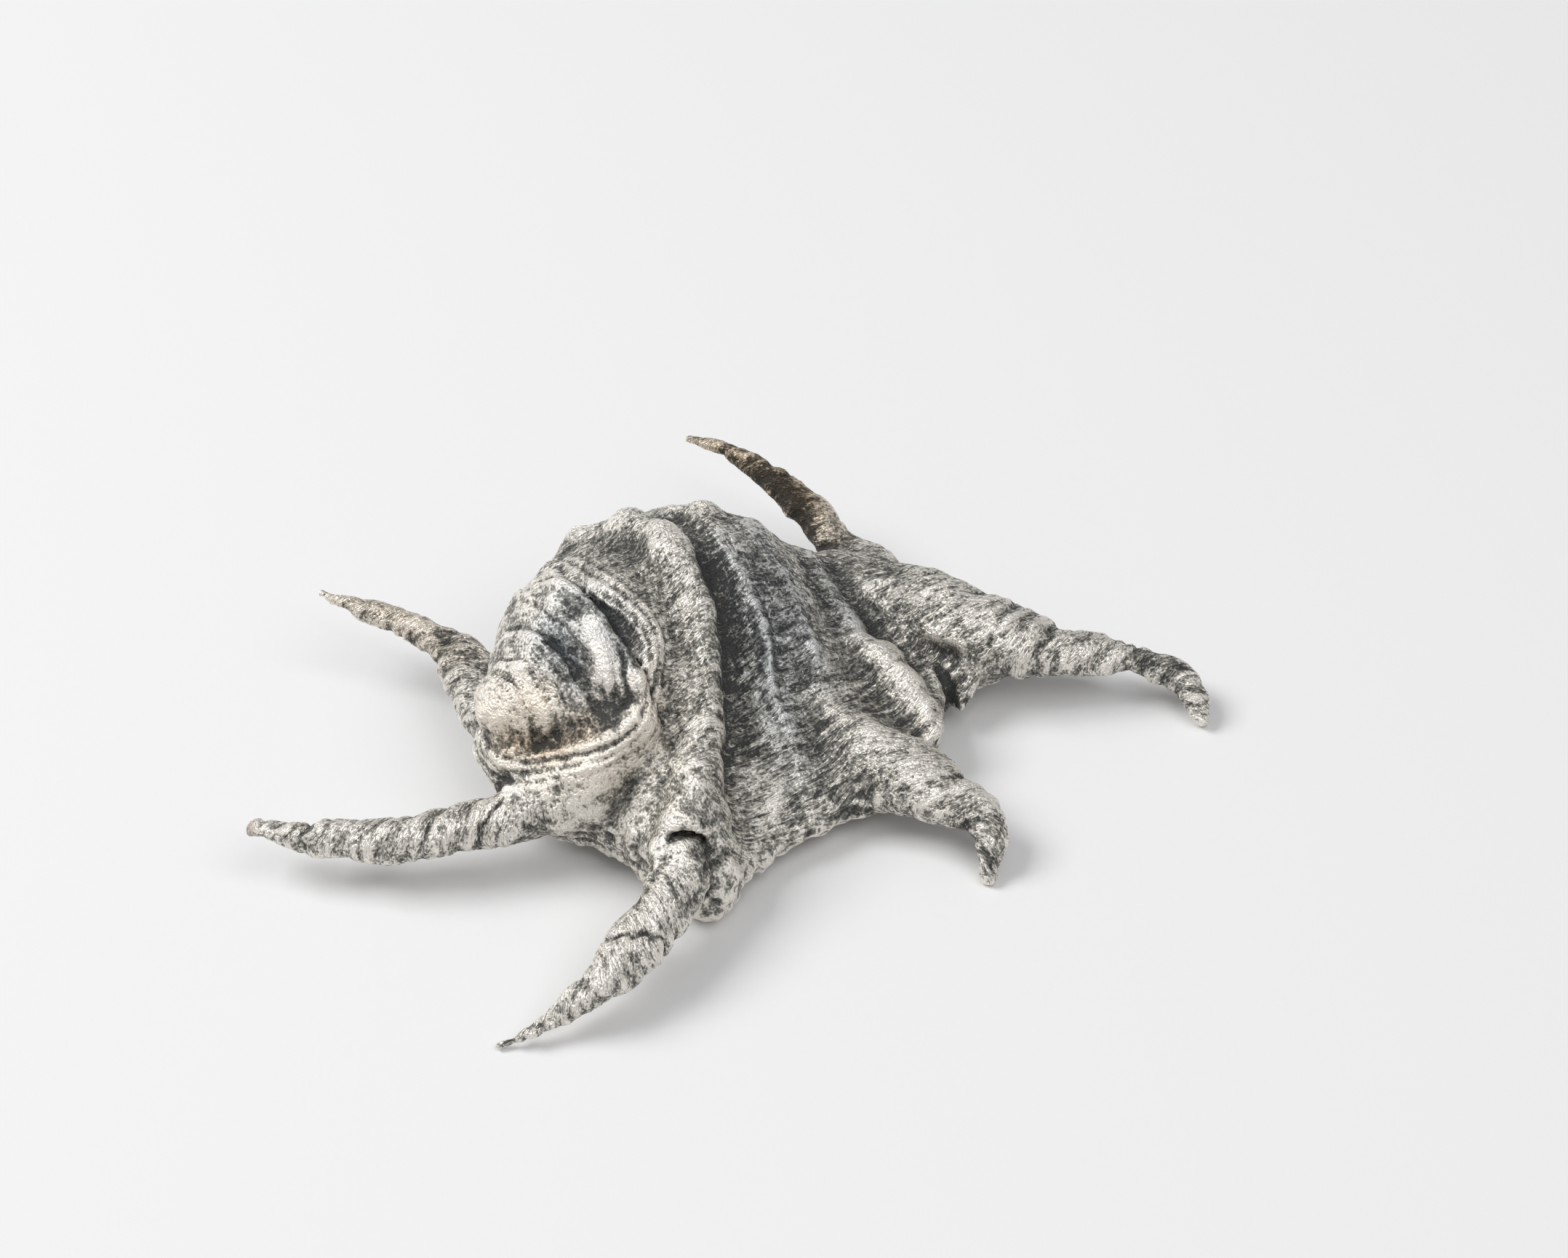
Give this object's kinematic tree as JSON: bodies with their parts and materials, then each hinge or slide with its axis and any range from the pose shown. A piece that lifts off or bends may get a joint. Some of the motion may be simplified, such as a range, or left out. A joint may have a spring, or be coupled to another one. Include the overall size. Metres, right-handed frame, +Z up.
{
  "type": "silver-clad spider conch shell",
  "caption": "Spider conch shell with a short spire, knobbed whorl, ribbed lip and long curved fingers, skinned in aged silver.",
  "frame": {"origin": "on the table, under the middle of the shell's bounding box", "axes": "+X from the spire side towards the front finger, +Y towards the canal, -Y towards the lip, +Z up off the table"},
  "size_m": [0.2396, 0.1812, 0.0611],
  "materials": {
    "silver_skin": "aged silver bonded over the natural shell: bright on the ribs, dark grey in the hollows"
  },
  "bodies": {
    "root": {"shell": "silver_skin"}
  },
  "joints": []
}
